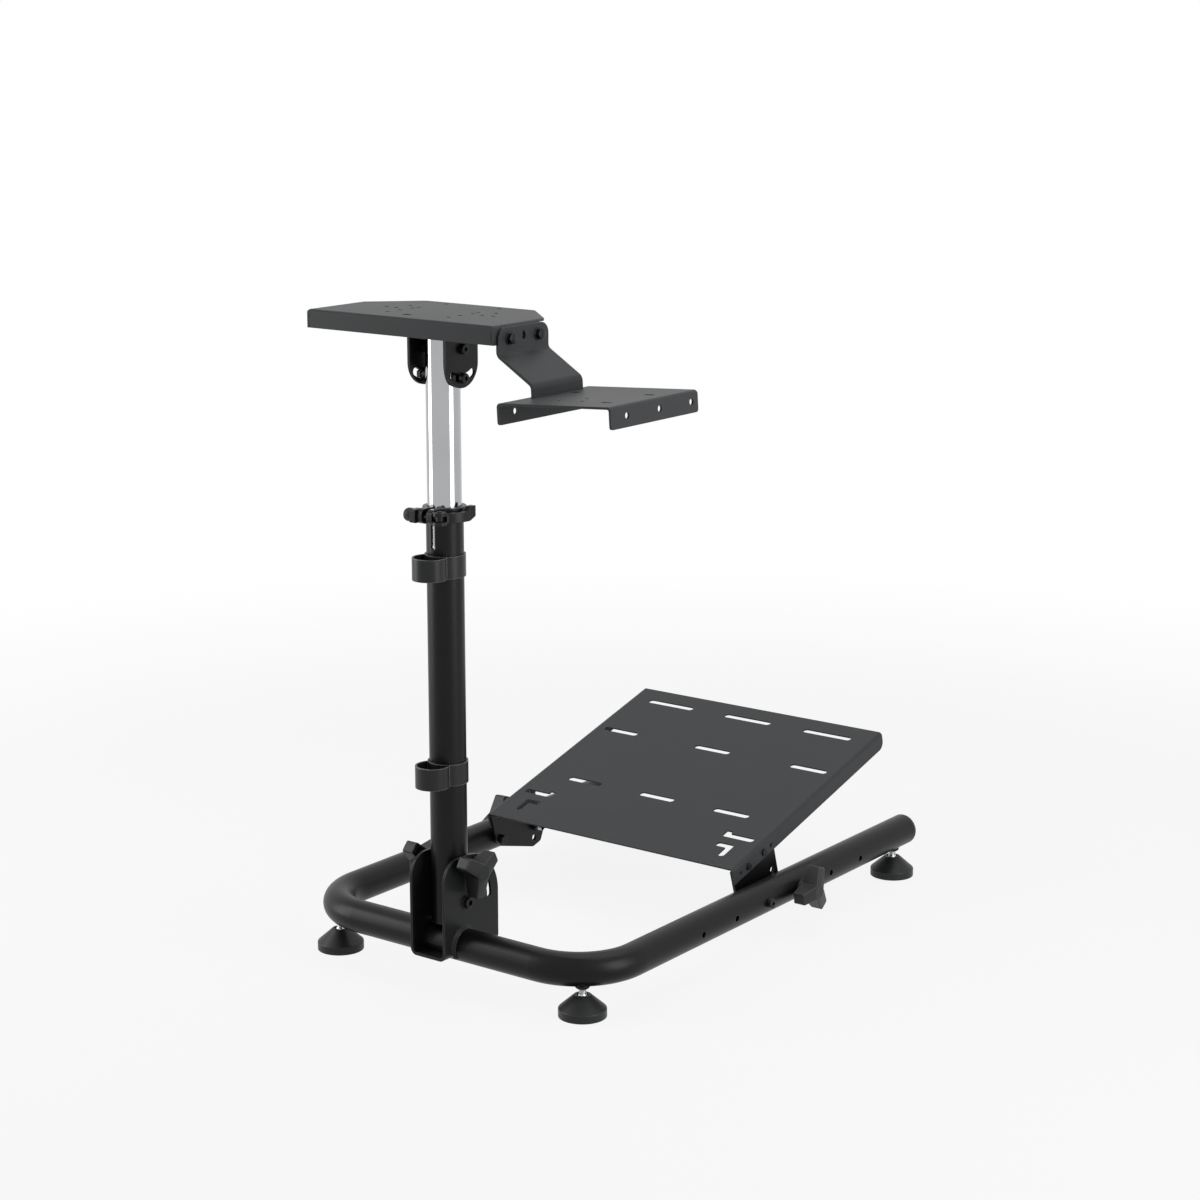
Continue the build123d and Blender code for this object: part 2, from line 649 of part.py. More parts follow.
wheel_plate = folded_block(0, plate_top - plate_flange, plate_top, plate_bend)
wheel_plate -= folded_block(plate_sheet, plate_top - 2 * plate_flange, plate_under, plate_bend - plate_sheet)
wheel_plate &= Pos(0, 0, plate_top - 2 * plate_flange) * extrude(plate_plan, 3 * plate_flange)
flange_end = plate_side_end - plate_corner
corner_x = half - plate_sheet - plate_relief / 2
trim_length = plate_rear - flange_end + plate_corner
trim = Pos(0, flange_end + trim_length / 2, plate_under - plate_flange)
wheel_plate -= trim * Box(plate_width + plate_corner, trim_length, 2 * plate_flange)
for side in (-1, 1):
    notch = Pos(side * corner_x, plate_front, plate_top - plate_flange / 2 - plate_bend - 1)
    wheel_plate -= notch * Box(plate_relief, 2 * (plate_sheet + plate_relief), plate_flange)
hole_spots = []
for spacing, mid_y in ((wheel_holes_inner, wheel_holes_inner_y), (wheel_holes_outer, wheel_holes_outer_y)):
    for dx in (-1, 1):
        for dy in (-1, 1):
            hole_spots.append((dx * spacing[0] / 2, mid_y + dy * spacing[1] / 2))
for spacing, y in (
    (wheel_holes_front, wheel_holes_front_y),
    (wheel_holes_mid, wheel_holes_mid_y),
    (wheel_holes_side, wheel_holes_side_y),
    (wheel_holes_rear, wheel_holes_rear_y),
):
    for dx in (-1, 1):
        hole_spots.append((dx * spacing / 2, y))
for x, y in hole_spots:
    wheel_plate -= rod_z(x, y, plate_under - 2, plate_top + 2, wheel_hole_dia / 2)
slot = Pos(wheel_slot_x, wheel_slot_y) * SlotOverall(wheel_slot_length, wheel_hole_dia)
wheel_plate -= Pos(0, 0, plate_under - 2) * extrude(slot, plate_sheet + 4)
shifter_mid_y = shifter_arm_front + shifter_arm_width / 2
bolt_ys = [shifter_mid_y + d * shifter_bolt_spacing / 2 for d in (-1, 1)]
for y in bolt_ys:
    wheel_plate -= rod_x(half - 10, half + 10, y, shifter_bolt_height, shifter_bolt_dia / 2)
add("wheel_plate", wheel_plate)

# Shifter arm: a strip with two bends from the side flange down to the shifter plate
strip_x = half + arm_sheet / 2
lean = radians(shifter_lean)
low_x = strip_x + shifter_arm_reach
low_z = shifter_arm_bend_height - shifter_arm_drop
seat_drop = (low_z - shifter_plate_height) * cos(lean) - (low_x - shifter_plate_left) * sin(lean)
strip = bent_strip(
    (
        (strip_x, shifter_arm_top),
        (strip_x, shifter_arm_bend_height),
        (low_x, low_z),
        (low_x + seat_drop * sin(lean), low_z - seat_drop * cos(lean)),
    ),
    shifter_arm_bend,
    arm_sheet,
    shifter_arm_front,
    shifter_arm_width,
)
top_corners = strip.edges().filter_by(Axis.X).group_by(Axis.Z)[-1]
strip = fillet(top_corners, shifter_arm_corner)
for y in bolt_ys:
    strip -= rod_x(half - 5, half + 15, y, shifter_bolt_height, shifter_bolt_dia / 2)
drop_mark = Circle(4.2)
drop_mark += make_face(Polyline((-4, 1), (4, 1), (0, 9), close=True))
drop_hole = Pos(shifter_mid_y, shifter_bolt_height) * drop_mark
strip -= extrude(in_yz(half - 1, drop_hole), arm_sheet + 2)
add("shifter_arm", strip)

bolts = []
for y in bolt_ys:
    shaft = rod_x(half - plate_sheet - 5, half + arm_sheet, y, shifter_bolt_height, shifter_bolt_dia / 2)
    x0 = half + arm_sheet
    shaft += hex_x(x0, x0 + shifter_bolt_head_height, y, shifter_bolt_height, shifter_bolt_head_dia)
    shaft += hex_x(half - plate_sheet - 5, half - plate_sheet, y, shifter_bolt_height, 10.0)
    bolts.append(shaft)
add("shifter_arm_bolts", *bolts)

# Shifter plate: a channel, leaning up to the outside
plate_path = FilletPolyline(
    (shifter_sheet / 2, 0, -shifter_flange),
    (shifter_sheet / 2, 0, -shifter_sheet / 2),
    (shifter_plate_width - shifter_sheet / 2, 0, -shifter_sheet / 2),
    (shifter_plate_width - shifter_sheet / 2, 0, -shifter_flange),
    radius=shifter_bend,
)
section = Plane(plate_path @ 0, x_dir=(0, 1, 0), z_dir=plate_path % 0)
shifter = sweep(section * Rectangle(shifter_plate_length, shifter_sheet), path=plate_path)
shifter = Pos(0, shifter_plate_length / 2, 0) * shifter
shifter = fillet(shifter.edges().filter_by(Axis.X).group_by(Axis.Z)[0], shifter_corner)
for i in range(3):
    y = shifter_side_hole_first + i * shifter_side_hole_pitch
    shifter -= rod_x(-5, shifter_plate_width + 5, y, -shifter_side_hole_drop, shifter_side_hole_dia / 2)
for x, y in shifter_slots:
    slot = Pos(x, y) * SlotOverall(shifter_slot_length, shifter_slot_width)
    shifter -= Pos(0, 0, -shifter_sheet - 1) * extrude(slot, shifter_sheet + 2)
for x, y in shifter_holes:
    shifter -= rod_z(x, y, -shifter_sheet - 1, 1, shifter_hole_dia / 2)
place = Pos(shifter_plate_left, shifter_plate_front, shifter_plate_height) * Rot(0, -shifter_lean, 0)
add("shifter_plate", place * shifter)

# Pedal plate: a slotted sheet with side flanges, sloped up to the front
deck = Pos(0, pedal_near, pedal_near_height) * Rot(pedal_tilt, 0, 0)
pedal_half = pedal_width / 2
deck_path = FilletPolyline(
    (-pedal_half + pedal_sheet / 2, 0, -pedal_flange),
    (-pedal_half + pedal_sheet / 2, 0, -pedal_sheet / 2),
    (pedal_half - pedal_sheet / 2, 0, -pedal_sheet / 2),
    (pedal_half - pedal_sheet / 2, 0, -pedal_flange),
    radius=pedal_bend,
)
section = Plane(deck_path @ 0, x_dir=(0, 1, 0), z_dir=deck_path % 0)
pedal = sweep(section * Rectangle(pedal_length, pedal_sheet), path=deck_path)
pedal = Pos(0, pedal_length / 2, 0) * pedal
pedal = fillet(pedal.edges().filter_by(Axis.X).group_by(Axis.Z)[0].group_by(Axis.Y)[-1], pedal_corner)
slots = Sketch()
for row_u, row_x, length in pedal_rows:
    for x in (-row_x, 0, row_x):
        slots += Pos(x, row_u) * SlotOverall(length, pedal_slot_width)
for side in (-1, 1):
    mid = side * pedal_corner_slot_x
    slots += Pos(mid, pedal_corner_slot_u) * SlotOverall(pedal_corner_slot_length, pedal_slot_width)
    inner_end = side * (pedal_corner_slot_x - pedal_corner_slot_length / 2 + pedal_slot_width / 2)
    tab = Pos(inner_end, pedal_corner_slot_u + pedal_corner_slot_tab / 2)
    slots += tab * Rectangle(pedal_slot_width, pedal_corner_slot_tab)
    across, down = pedal_hook_legs
    leg = Pos(side * (pedal_hook_x - across / 2), pedal_hook_u)
    slots += leg * SlotCenterToCenter(across, pedal_slot_width)
    leg = Pos(side * pedal_hook_x, pedal_hook_u - down / 2)
    slots += leg * SlotCenterToCenter(down, pedal_slot_width, rotation=90)
pedal -= Pos(0, 0, -pedal_sheet - 1) * extrude(slots, pedal_sheet + 2)
for u in gusset_holes:
    pedal -= rod_x(-pedal_half - 5, pedal_half + 5, u, -gusset_hole_drop, gusset_hole_dia / 2)
add("pedal_plate", deck * pedal)

# Gussets between the pedal plate and the arms, and their fasteners
pivot_y = arm_holes[2]
lock_y = arm_holes[3]
tilt = radians(pedal_tilt)


def deck_uv(y, z):
    dy = y - pedal_near
    dz = z - pedal_near_height
    return (dy * cos(tilt) + dz * sin(tilt), -dy * sin(tilt) + dz * cos(tilt))


pivot_u, pivot_v = deck_uv(pivot_y, tube_axis_height)
lock_u, lock_v = deck_uv(lock_y, tube_axis_height)
gusset_out = pedal_half - pedal_sheet
gusset_in = gusset_out - gusset_thickness
low_a = atan2(lock_v - pivot_v, lock_u - pivot_u) - radians(gusset_step)
low_u = pivot_u + arm_hole_pitch * cos(low_a)
low_v = pivot_v + arm_hole_pitch * sin(low_a)
gusset_top = -pedal_sheet - pedal_bend + 0.5
gusset_end = lock_u + gusset_margin + 2
gusset_plan = make_face(
    Polyline(
        (pivot_u - gusset_margin + 0.5, gusset_top),
        (gusset_end, gusset_top),
        (gusset_end + 2, low_v),
        (low_u + gusset_margin, low_v - gusset_margin),
        (low_u - gusset_margin / 2, low_v - gusset_margin),
        (pivot_u - gusset_margin / 3, pivot_v - 0.75 * gusset_margin),
        (pivot_u - 0.8 * gusset_margin, pivot_v + 0.2 * gusset_margin),
        close=True,
    )
)
gusset_plan = fillet(gusset_plan.vertices().group_by(Axis.Y)[0], 6.0)
for u in gusset_holes:
    gusset_plan -= Pos(u, -gusset_hole_drop) * Circle(gusset_bolt_dia / 2)
gusset_plan -= Pos(pivot_u, pivot_v) * Circle(pedal_screw_dia / 2)
lock_r = arm_hole_pitch
lock_a = degrees(atan2(lock_v - pivot_v, lock_u - pivot_u))
for step in (-1, 0, 1):
    a = radians(lock_a + step * gusset_step)
    gusset_plan -= Pos(pivot_u + lock_r * cos(a), pivot_v + lock_r * sin(a)) * Circle(gusset_lock_dia / 2)
arm_in = arm_x - tube_r
arm_out = arm_x + tube_r
for side, tag, turn in ((-1, "left", 16), (1, "right", 38)):
    gusset = extrude(in_yz(min(side * gusset_in, side * gusset_out), gusset_plan), gusset_thickness)
    add("pedal_bracket_" + tag, deck * gusset)
    nut_in = gusset_in - pedal_screw_nut_height
    spacer = rod_x(side * gusset_out, side * (arm_in - 0.05), pivot_y, tube_axis_height, 9.0)
    bolt = rod_x(side * nut_in, side * (arm_out + 1), pivot_y, tube_axis_height, pedal_screw_dia / 2)
    bolt += hex_x(side * nut_in, side * gusset_in, pivot_y, tube_axis_height, pedal_screw_nut_flats)
    bolt += spacer
    head_x = arm_out + 0.3
    head = rod_x(
        side * head_x,
        side * (head_x + pedal_bolt_head_height),
        pivot_y,
        tube_axis_height,
        pedal_bolt_head_dia / 2,
    )
    head = fillet(head.edges().filter_by(GeomType.CIRCLE).sort_by(Axis.X)[0 if side < 0 else -1], 1.5)
    head -= hex_x(side * (head_x + 2.5), side * (head_x + 8), pivot_y, tube_axis_height, 6.0)
    add("pedal_pivot_bolt_" + tag, bolt + head)
    screw_end = nut_in - pedal_screw_tail
    screw = rod_x(side * screw_end, side * (arm_out + 4), lock_y, tube_axis_height, pedal_screw_dia / 2)
    screw += hex_x(side * nut_in, side * gusset_in, lock_y, tube_axis_height, pedal_screw_nut_flats)
    screw += rod_x(side * gusset_out, side * (arm_in - 0.05), lock_y, tube_axis_height, 9.0)
    face = Pos(side * (arm_out + knob_face_gap), lock_y, tube_axis_height) * Rot(0, side * 90, 0)
    add("pedal_knob_" + tag, face * knob_body(turn) + screw)
    bolts = []
    for u in gusset_holes[1:3]:
        shaft = rod_x(side * (gusset_in - 5), side * pedal_half, u, -gusset_hole_drop, gusset_bolt_dia / 2)
        shaft += hex_x(side * (gusset_in - 5), side * gusset_in, u, -gusset_hole_drop, 10.0)
        x0 = side * pedal_half
        cap = rod_x(x0, x0 + side * gusset_bolt_head_height, u, -gusset_hole_drop, gusset_bolt_head_dia / 2)
        shaft += cap
        bolts.append(deck * shaft)
    add("pedal_bracket_bolts_" + tag, *bolts)

os.makedirs("parts", exist_ok=True)
for name, shape in parts.items():
    export_step(shape, os.path.join("parts", name + ".step"))
print(len(parts), "nodes")
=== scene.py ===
import bpy
import bmesh
import json
import math
from mathutils import Matrix, Vector


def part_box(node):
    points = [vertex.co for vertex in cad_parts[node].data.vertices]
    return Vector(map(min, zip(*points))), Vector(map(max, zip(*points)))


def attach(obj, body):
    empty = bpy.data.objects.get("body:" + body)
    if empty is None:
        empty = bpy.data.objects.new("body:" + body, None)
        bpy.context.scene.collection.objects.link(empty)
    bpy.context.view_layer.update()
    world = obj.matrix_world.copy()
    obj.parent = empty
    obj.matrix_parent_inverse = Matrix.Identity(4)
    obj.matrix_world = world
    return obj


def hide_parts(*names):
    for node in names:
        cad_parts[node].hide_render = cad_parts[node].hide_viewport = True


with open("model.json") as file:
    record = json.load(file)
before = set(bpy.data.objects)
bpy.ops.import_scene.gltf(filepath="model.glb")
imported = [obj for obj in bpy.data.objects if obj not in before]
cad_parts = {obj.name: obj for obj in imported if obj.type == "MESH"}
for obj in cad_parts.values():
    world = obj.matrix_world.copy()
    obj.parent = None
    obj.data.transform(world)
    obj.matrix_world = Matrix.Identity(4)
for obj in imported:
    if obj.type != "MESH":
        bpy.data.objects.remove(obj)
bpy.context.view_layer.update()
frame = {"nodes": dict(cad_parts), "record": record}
nodes = frame["nodes"]


# Shader expressions: a socket that understands arithmetic
class Sock:
    def __init__(self, finish, socket):
        self.finish = finish
        self.socket = socket

    def _math(self, operation, a, b):
        return self.finish.node("ShaderNodeMath", {"operation": operation}, {0: a, 1: b})

    def __add__(self, other):
        return self._math("ADD", self, other)

    def __radd__(self, other):
        return self._math("ADD", other, self)

    def __sub__(self, other):
        return self._math("SUBTRACT", self, other)

    def __rsub__(self, other):
        return self._math("SUBTRACT", other, self)

    def __mul__(self, other):
        return self._math("MULTIPLY", self, other)

    def __rmul__(self, other):
        return self._math("MULTIPLY", other, self)


class Finish:
    def __init__(self, name):
        self.material = bpy.data.materials.new(name)
        self.material.use_nodes = True
        self.tree = self.material.node_tree
        self.tree.nodes.clear()
        self.output = self.tree.nodes.new("ShaderNodeOutputMaterial")

    def node(self, kind, settings=None, sockets=None, out=0):
        made = self.tree.nodes.new(kind)
        for key, value in (settings or {}).items():
            setattr(made, key, value)
        for key, value in (sockets or {}).items():
            target = made.inputs[key]
            if isinstance(value, Sock):
                self.tree.links.new(value.socket, target)
            else:
                target.default_value = value
        return Sock(self, made.outputs[out])

    def noise(self, scale, detail=3.0, roughness=0.55):
        place = self.node("ShaderNodeTexCoord", out="Object")
        return self.node(
            "ShaderNodeTexNoise",
            None,
            {"Vector": place, "Scale": scale, "Detail": detail, "Roughness": roughness},
        )

    def spots(self, scale):
        place = self.node("ShaderNodeTexCoord", out="Object")
        return self.node("ShaderNodeTexVoronoi", None, {"Vector": place, "Scale": scale})

    def mix(self, factor, low, high):
        return self.node(
            "ShaderNodeMix",
            {"data_type": "RGBA"},
            {"Factor": factor, 6: low, 7: high},
            out=2,
        )

    def rounded(self, radius):
        return self.node("ShaderNodeBevel", {"samples": 6}, {"Radius": radius})

    # Mask of the edges, where the bevel normal leaves the face normal; the finishes paint a lighter highlight
    # line into the base colour there
    def edge(self, rounded, start=0.995, full=0.90):
        face = self.node("ShaderNodeNewGeometry", out="Normal")
        match = self.node(
            "ShaderNodeVectorMath",
            {"operation": "DOT_PRODUCT"},
            {0: rounded, 1: face},
            "Value",
        )
        return self.node("ShaderNodeMapRange", {"clamp": True}, {0: match, 1: start, 2: full, 3: 0.0, 4: 1.0})

    def bump(self, height, strength, distance, rounded):
        return self.node(
            "ShaderNodeBump",
            None,
            {"Height": height, "Strength": strength, "Distance": distance, "Normal": rounded},
        )

    def shade(self, shader):
        self.tree.links.new(shader.socket, self.output.inputs["Surface"])
        return self.material

    def surface(self, sockets):
        return self.shade(self.node("ShaderNodeBsdfPrincipled", None, sockets))


def grey(value, warm=0.0):
    return (value * (1 + warm), value, value * (1 - warm), 1)


# Finishes
def powder_coat(name, low, high, rough, gloss):
    f = Finish(name)
    grain = f.noise(900.0, 2.0)
    cloud = f.noise(9.0, 3.0)
    highlight_breakup = f.noise(55.0, 4.0, 0.7)
    rounded = f.rounded(0.0009)
    edge = f.edge(rounded)
    black = f.mix(cloud, grey(low, -0.04), grey(high, -0.04))
    return f.surface(
        {
            # Base colour: painted highlight, a lighter grey along the edges, broken up by noise
            "Base Color": f.mix(edge * (0.3 + 0.7 * highlight_breakup), black, grey(0.15)),
            "Roughness": rough + 0.06 * cloud + 0.05 * grain - 0.08 * edge,
            "Specular IOR Level": gloss,
            "Normal": f.bump(grain, 0.14, 0.0004, rounded),
        }
    )


def bright_chrome():
    f = Finish("bright_chrome")
    cloud = f.noise(14.0, 2.0)
    return f.surface(
        {
            # Base colour darker than polished chrome: painted shade standing in for the dark surroundings the
            # chrome reflects
            "Base Color": f.mix(cloud, (0.37, 0.38, 0.39, 1), (0.43, 0.44, 0.45, 1)),
            "Metallic": 1.0,
            "Roughness": 0.06 + 0.04 * cloud,
        }
    )


def plated_stud():
    f = Finish("plated_stud")
    cloud = f.noise(160.0, 3.0)
    return f.surface(
        {
            "Base Color": f.mix(cloud, (0.50, 0.51, 0.52, 1), (0.64, 0.65, 0.66, 1)),
            "Metallic": 0.8,
            "Roughness": 0.16 + 0.16 * cloud,
            "Normal": f.rounded(0.0003),
        }
    )


def black_fastener():
    f = Finish("black_fastener")
    cloud = f.noise(120.0, 3.0)
    rounded = f.rounded(0.0006)
    edge = f.edge(rounded)
    return f.surface(
        {
            # Base colour: painted highlight, a lighter grey along the edges
            "Base Color": f.mix(edge * 0.6, f.mix(cloud, grey(0.010), grey(0.022)), grey(0.13)),
            "Metallic": 0.35,
            "Roughness": 0.28 + 0.14 * cloud,
            "Specular IOR Level": 0.2,
            "Normal": rounded,
        }
    )


def clamp_metal():
    f = Finish("clamp_metal")
    cloud = f.noise(40.0, 3.0)
    grain = f.noise(1400.0, 1.0)
    rounded = f.rounded(0.0008)
    edge = f.edge(rounded)
    return f.surface(
        {
            # Base colour: painted highlight, a lighter grey along the edges
            "Base Color": f.mix(edge * 0.6, f.mix(cloud, grey(0.009), grey(0.016)), grey(0.09)),
            "Roughness": 0.24 + 0.10 * cloud,
            "Specular IOR Level": 0.2,
            "Normal": f.bump(grain, 0.08, 0.0002, rounded),
        }
    )


def moulded_plastic(name, low, high, rough, grain_size, depth):
    f = Finish(name)
    cloud = f.noise(30.0, 2.0)
    grain = f.spots(grain_size)
    rounded = f.rounded(0.0016)
    edge = f.edge(rounded)
    return f.surface(
        {
            # Base colour: painted highlight, a much lighter grey along the edges
            "Base Color": f.mix(edge * 0.8, f.mix(cloud, grey(low, -0.05), grey(high, -0.05)), grey(0.28)),
            "Roughness": rough + 0.12 * cloud - 0.06 * edge,
            "Specular IOR Level": 0.28,
            "Normal": f.bump(grain, depth, 0.0003, rounded),
        }
    )


# Three copies of the one black powder coat at different darkness: painted light and shade. The tubes get the
# darkest copy, the bracket a lighter one, and the sheets the lightest, which is also rougher and matt; each
# is set to the brightness the light gives it.
coat = powder_coat("black_powder_coat", 0.003, 0.005, 0.30, 0.19)
bracket_coat_painted_lighter = powder_coat("bracket_powder_coat_painted_lighter", 0.014, 0.019, 0.28, 0.15)
sheet_coat_painted_lighter = powder_coat("sheet_powder_coat_painted_lighter", 0.046, 0.056, 0.40, 0.12)
chrome = bright_chrome()
stud_plate = plated_stud()
fastener = black_fastener()
clamp = clamp_metal()
knob_plastic = moulded_plastic("knob_plastic", 0.010, 0.017, 0.32, 900.0, 0.14)
foot_plastic = moulded_plastic("foot_plastic", 0.013, 0.020, 0.38, 800.0, 0.16)
cap_plastic = moulded_plastic("cap_plastic", 0.006, 0.010, 0.32, 1000.0, 0.10)
clip_plastic = moulded_plastic("clip_plastic", 0.009, 0.015, 0.28, 1000.0, 0.10)

finish_of = {
    "black_powder_coat": coat,
    "chrome_tube": chrome,
    "chrome_stud": stud_plate,
    "black_fastener": fastener,
    "clamp_metal": clamp,
    "knob_plastic": knob_plastic,
    "foot_plastic": foot_plastic,
    "cap_plastic": cap_plastic,
    "clip_plastic": clip_plastic,
}
for entry in frame["record"]["subparts"]:
    mesh = nodes[entry["node"]].data
    mesh.materials.clear()
    mesh.materials.append(finish_of[entry["material_slot"]])
# The sheets and the pivot bracket take the lighter copies of the coat: painted light.
for sheet in ("pedal_plate", "wheel_plate", "shifter_plate", "shifter_arm"):
    nodes[sheet].data.materials[0] = sheet_coat_painted_lighter
nodes["pivot_bracket"].data.materials[0] = bracket_coat_painted_lighter


# Modelling steps shared by the added fasteners
hex_crown = 0.0007
bar_soften = 0.0003
turns = {
    "Z": Matrix(),
    "X": Matrix.Rotation(math.pi / 2, 4, "Y"),
    "-X": Matrix.Rotation(-math.pi / 2, 4, "Y"),
}


def settle():
    bpy.ops.object.transform_apply(location=True, rotation=True, scale=True)
    return bpy.context.object


def round_bar(sides, radius, low, high):
    bpy.ops.object.select_all(action="DESELECT")
    bpy.ops.mesh.primitive_cylinder_add(
        vertices=sides, radius=radius, depth=high - low, location=(0, 0, (low + high) / 2)
    )
    return settle()


def edit(piece):
    bpy.ops.object.select_all(action="DESELECT")
    piece.select_set(True)
    bpy.context.view_layer.objects.active = piece
    bpy.ops.object.mode_set(mode="EDIT")
    bpy.ops.mesh.select_mode(type="FACE")


def pick(piece, wanted):
    bpy.ops.mesh.select_all(action="DESELECT")
    mesh = bmesh.from_edit_mesh(piece.data)
    for face in mesh.faces:
        face.select_set(wanted(face.calc_center_median(), face.normal))
    bmesh.update_edit_mesh(piece.data)


def leave():
    bpy.ops.mesh.select_all(action="SELECT")
    bpy.ops.mesh.normals_make_consistent(inside=False)
    bpy.ops.object.mode_set(mode="OBJECT")
    bpy.ops.object.shade_smooth_by_angle(angle=math.radians(35))


def join(name, parts):
    bpy.ops.object.select_all(action="DESELECT")
    for part in parts:
        part.select_set(True)
    bpy.context.view_layer.objects.active = parts[0]
    if len(parts) > 1:
        bpy.ops.object.join()
    whole = bpy.context.object
    whole.name = name
    whole.data.name = name
    return whole


def copy_at(piece, place, along="Z"):
    double = piece.copy()
    double.data = piece.data.copy()
    bpy.context.scene.collection.objects.link(double)
    double.data.transform(Matrix.Translation(place) @ turns[along])
    return double


def copies(name, piece, places, along="Z"):
    whole = join(name, [copy_at(piece, place, along) for place in places])
    bpy.data.objects.remove(piece)
    return whole


def dress(piece, body, slot_name):
    piece.data.materials.clear()
    piece.data.materials.append(finish_of[slot_name])
    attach(piece, body)
    return piece


def ends_only(centre, normal):
    return abs(normal.z) > 0.9


def softened_bar(sides, radius, low, high, soften):
    bar = round_bar(sides, radius, low, high)
    edit(bar)
    pick(bar, ends_only)
    bpy.ops.mesh.bevel(offset=soften, segments=2, affect="EDGES")
    leave()
    return bar


def threaded_bar(root, crest, pitch, low, high):
    core = softened_bar(32, root, low, high, 0.0004)
    tooth = (crest - root + 0.0002) / 1.5
    bpy.ops.object.select_all(action="DESELECT")
    bpy.ops.mesh.primitive_circle_add(
        vertices=3,
        radius=tooth,
        location=(crest - tooth, 0, low + 0.9 * pitch),
        rotation=(math.pi / 2, math.pi / 2, 0),
    )
    ridge = settle()
    wind = ridge.modifiers.new("wind", "SCREW")
    wind.axis = "Z"
    wind.angle = 2 * math.pi
    wind.screw_offset = pitch
    wind.iterations = int((high - low) / pitch - 1.8)
    wind.steps = 24
    wind.render_steps = 24
    bpy.ops.object.modifier_apply(modifier="wind")
    edit(ridge)
    bpy.ops.mesh.select_all(action="SELECT")
    bpy.ops.mesh.fill_holes(sides=3)
    leave()
    return join("threaded_bar", [core, ridge])


def hex_block(flats, low, high, raised):
    block = round_bar(6, flats / 2 / math.cos(math.pi / 6), low, high)
    edit(block)
    pick(block, lambda centre, normal: normal.z * raised > 0.9)
    bpy.ops.mesh.inset(thickness=0.10 * flats)
    bpy.ops.transform.translate(value=(0, 0, hex_crown * raised))
    leave()
    return block


def flat_ring(inner, outer, thickness):
    ring = round_bar(48, outer, 0, thickness)
    edit(ring)
    pick(ring, ends_only)
    bpy.ops.mesh.inset(thickness=outer - inner)
    bpy.ops.mesh.bridge_edge_loops()
    leave()
    return ring


# Screw feet: threaded studs with ball ends
foot_boxes = [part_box("foot_" + spot) for spot in ("front_left", "front_right", "rear_left", "rear_right")]
stud_low, stud_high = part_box("foot_studs")
ball = 0.0065
ball_z = stud_low.z + ball
stud_root = 0.0044
stud_crest = 0.0050
thread_pitch = 0.00125
stud = threaded_bar(stud_root, stud_crest, thread_pitch, ball_z, stud_high.z)
bpy.ops.object.select_all(action="DESELECT")
bpy.ops.mesh.primitive_uv_sphere_add(segments=32, ring_count=20, radius=ball, location=(0, 0, ball_z))
knuckle = settle()
edit(knuckle)
leave()
stud = join("stud", [stud, knuckle])
places = [Vector(((low.x + high.x) / 2, (low.y + high.y) / 2, 0)) for low, high in foot_boxes]
studs = copies("threaded_studs", stud, places)
dress(studs, "base", "chrome_stud")
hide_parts("foot_studs")

# Pedal lock screws: the bare threaded tails inside the gussets
tail_root = 0.00405
tail_crest = 0.0046
tail_length = 0.009
tail_y = 0.1365
tail_z = 0.065
left_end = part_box("pedal_knob_left")[1].x
right_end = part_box("pedal_knob_right")[0].x
tail = threaded_bar(tail_root, tail_crest, thread_pitch, 0.0, tail_length)
tail_places = [(start, tail_y, tail_z) for start in (left_end - tail_length, right_end)]
tails = copies("lock_screw_threads", tail, tail_places, "X")
dress(tails, "base", "chrome_stud")

# Clamp thumb nut: a ribbed grip
nut_low, nut_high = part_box("clamp_bolt")
ribs = 30
rib_rise = 1.055
grip_radius = 0.0086
grip_start = 0.0034
grip_end = 0.0116
grip = softened_bar(2 * ribs, grip_radius, grip_start, grip_end, bar_soften)
edit(grip)
pick(
    grip,
    lambda centre, normal: abs(normal.z) < 0.1
    and int(math.degrees(math.atan2(centre.y, centre.x)) % 360 // (180 / ribs)) % 2 == 0,
)
bpy.ops.mesh.extrude_faces_indiv()
bpy.ops.transform.resize(value=(rib_rise, rib_rise, 1.0), center_override=(0, 0, 0))
leave()
nut_place = (nut_low.x, (nut_low.y + nut_high.y) / 2, (nut_low.z + nut_high.z) / 2)
grip = copies("thumb_nut_ribs", grip, [nut_place], "X")
dress(grip, "column", "clamp_metal")

# Shifter arm bolts: hexagon heads on washers, with nuts inside the flange
bolt_low, bolt_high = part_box("shifter_arm_bolts")
head_height = 0.008
head_flats = 0.013
washer = 0.0012
washer_radius = 0.0085
shank_radius = 0.0030
shank_end = -0.0125
inner_flats = 0.010
inner_start = -0.012
inner_end = -0.007
bolt_reach = 0.029
bolt = join(
    "bolt",
    [
        hex_block(head_flats, washer, head_height - hex_crown, 1),
        softened_bar(40, washer_radius, 0.0, washer, bar_soften),
        softened_bar(24, shank_radius, shank_end, 0.001, bar_soften),
        hex_block(inner_flats, inner_start, inner_end, -1),
    ],
)
bolt_x = bolt_high.x - head_height
bolt_z = (bolt_low.z + bolt_high.z) / 2
bolt_mid = (bolt_low.y + bolt_high.y) / 2
bolt_places = [(bolt_x, bolt_mid + reach, bolt_z) for reach in (-bolt_reach, bolt_reach)]
bolts = copies("shifter_hex_bolts", bolt, bolt_places, "X")
dress(bolts, "wheel_head", "black_fastener")
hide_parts("shifter_arm_bolts")

